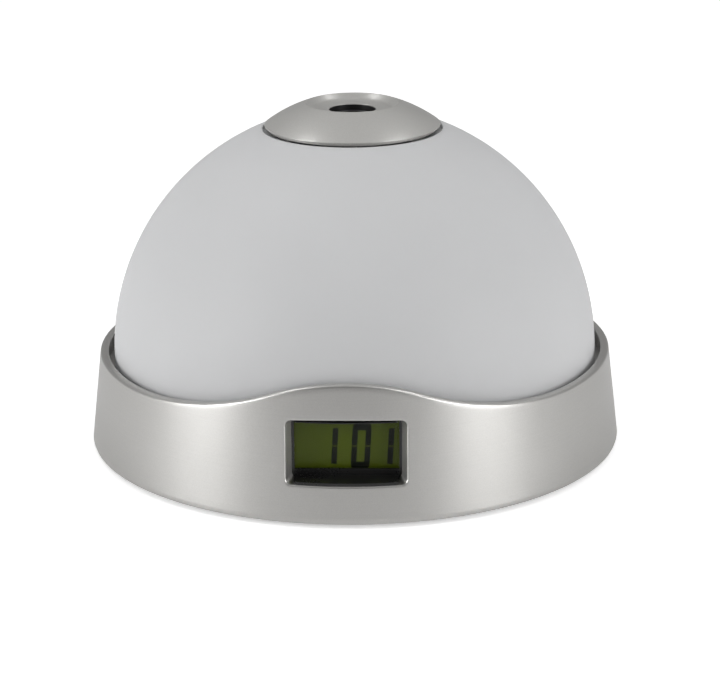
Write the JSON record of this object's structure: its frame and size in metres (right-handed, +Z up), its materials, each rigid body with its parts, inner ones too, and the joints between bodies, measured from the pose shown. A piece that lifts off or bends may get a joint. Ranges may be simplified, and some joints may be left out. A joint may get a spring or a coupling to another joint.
{
  "type": "projection alarm clock",
  "caption": "Half-ball alarm clock: frosted dome on a silver ring base with a small front display and a press cap that projects the time upwards.",
  "frame": {"origin": "on the table at the centre of the clock's footprint", "axes": "+Z up, the display faces -Y, +X to the viewer's right"},
  "size_m": [0.116, 0.116, 0.074],
  "materials": {
    "silver_lacquer": "satin silver lacquer",
    "frosted_dome": "frosted translucent white",
    "black_plastic": "satin black",
    "dark_pan": "fine matte texture",
    "key_grey": "satin grey",
    "white_plate": "matte white",
    "clear_pane": "clear polished",
    "display_cell": "grey-green reflective display",
    "optics": "polished",
    "light_guide": "clear-edged",
    "circuit_board": "green solder mask",
    "chip_black": "moulded black",
    "steel": "zinc-plated",
    "brass_disc": "plain",
    "cell_sleeve": "printed-free dark sleeve",
    "soft_rubber": "soft matte",
    "cable_grey": "flat cable",
    "lamp_clear": "clear epoxy"
  },
  "bodies": {
    "case": {"base_ring": "silver_lacquer", "dome_shade": "frosted_dome", "cap_board": "circuit_board", "cap_switches": "chip_black", "cap_spring": "steel", "projector_tower": "black_plastic", "tower_collar": "black_plastic", "condenser_lens": "optics", "condenser_ring": "black_plastic", "projector_lcd": "display_cell", "lcd_keeper": "black_plastic", "projector_led": "lamp_clear", "mood_leds": "lamp_clear", "led_board": "circuit_board", "reflector_plate": "white_plate", "ribbon_cable": "cable_grey", "board_ribbon": "cable_grey", "main_board": "circuit_board", "controller_chip": "chip_black", "board_components": "chip_black", "display_bezel": "black_plastic", "display_window": "clear_pane", "display_glass": "display_cell", "zebra_strip": "soft_rubber", "display_lightguide": "light_guide", "display_board": "circuit_board", "header_pins": "steel", "base_plate": "dark_pan", "battery_cells": "cell_sleeve", "contact_plates": "steel", "battery_springs": "steel", "buzzer": "brass_disc", "key_switches": "chip_black", "slide_switch": "chip_black", "base_screws": "steel", "board_screws": "steel", "reflector_screws": "steel", "tower_screws": "steel", "display_screws": "steel", "feet": "soft_rubber"},
    "cap": {"top_cap": "silver_lacquer", "cap_plungers": "black_plastic"},
    "focus": {"focus_ring": "black_plastic"},
    "lens": {"lens_cell": "black_plastic", "objective_lens": "optics"},
    "slider": {"lamp_slider": "key_grey"},
    "door": {"battery_door": "dark_pan"},
    "key_time_body": {"key_time": "key_grey", "plunger_time": "black_plastic"},
    "key_alarm_body": {"key_alarm": "key_grey", "plunger_alarm": "black_plastic"},
    "key_hour_body": {"key_hour": "key_grey", "plunger_hour": "black_plastic"},
    "key_minute_body": {"key_minute": "key_grey", "plunger_minute": "black_plastic"}
  },
  "joints": [
    {"name": "cap_press", "type": "slide", "parent": "case", "child": "cap", "axis": [0, 0, -1], "range_m": [0, 0.0006], "stiffness_N_per_m": 800, "springref_m": -0.002, "deforming": ["cap_spring"]},
    {"name": "focus_turn", "type": "hinge", "parent": "case", "child": "focus", "pos_m": [0, 0, 0.0714], "axis": [0, 0, 1], "range_deg": [-90, 90]},
    {"name": "lens_travel", "type": "slide", "parent": "case", "child": "lens", "axis": [0, 0, 1], "range_m": [-0.0015, 0.0015]},
    {"name": "slider_shift", "type": "slide", "parent": "case", "child": "slider", "axis": [1, 0, 0], "range_m": [-0.0025, 0.0025]},
    {"name": "door_swing", "type": "hinge", "parent": "case", "child": "door", "pos_m": [0, -0.00268, 0.00215], "axis": [-1, 0, 0], "range_deg": [0, 75]},
    {"name": "key_time_press", "type": "slide", "parent": "case", "child": "key_time_body", "axis": [0, 0, 1], "range_m": [0, 0.0005], "stiffness_N_per_m": 500, "springref_m": -0.001},
    {"name": "key_alarm_press", "type": "slide", "parent": "case", "child": "key_alarm_body", "axis": [0, 0, 1], "range_m": [0, 0.0005], "stiffness_N_per_m": 500, "springref_m": -0.001},
    {"name": "key_hour_press", "type": "slide", "parent": "case", "child": "key_hour_body", "axis": [0, 0, 1], "range_m": [0, 0.0005], "stiffness_N_per_m": 500, "springref_m": -0.001},
    {"name": "key_minute_press", "type": "slide", "parent": "case", "child": "key_minute_body", "axis": [0, 0, 1], "range_m": [0, 0.0005], "stiffness_N_per_m": 500, "springref_m": -0.001}
  ],
  "couplings": [
    {"joint": "lens_travel", "follows": "focus_turn", "m_per_rad": 0.000954}
  ]
}
